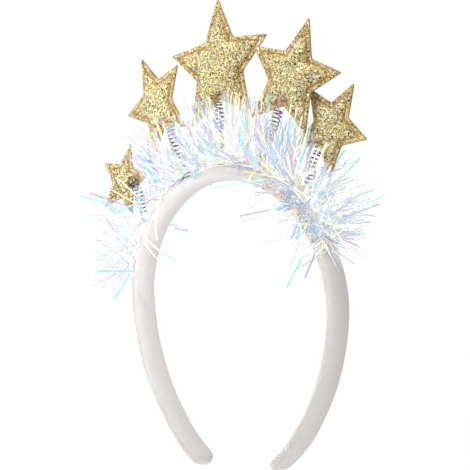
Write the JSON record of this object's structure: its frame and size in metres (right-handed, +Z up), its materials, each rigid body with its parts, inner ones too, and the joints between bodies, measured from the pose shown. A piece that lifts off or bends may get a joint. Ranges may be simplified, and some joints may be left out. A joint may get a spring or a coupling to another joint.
{
  "type": "star headband",
  "caption": "Padded white fabric hoop for the head, open at its tips, with an iridescent tinsel garland on the crown and padded gold glitter stars standing on coil springs.",
  "frame": {"origin": "middle of the inner face of the crown, where the hoop sits on top of the head", "axes": "+Z up, along the hoop's middle line away from the head; +X to the right in the front view, along the hoop's width; the front is -Y"},
  "size_m": [0.1846, 0.053, 0.225],
  "materials": {
    "band_fabric": "matte white woven fabric with fine cross ribs over padding",
    "tinsel_film": "thin glossy iridescent film cut into strips",
    "spring_wire": "bright steel wire",
    "star_fabric": "gold glitter-coated fabric, padded, with a welded rim"
  },
  "bodies": {
    "root": {"band": "band_fabric", "tinsel": "tinsel_film", "spring_1": "spring_wire", "spring_2": "spring_wire", "spring_3": "spring_wire", "spring_4": "spring_wire", "spring_5": "spring_wire", "star_1": "star_fabric", "star_2": "star_fabric", "star_3": "star_fabric", "star_4": "star_fabric", "star_5": "star_fabric"}
  },
  "joints": []
}
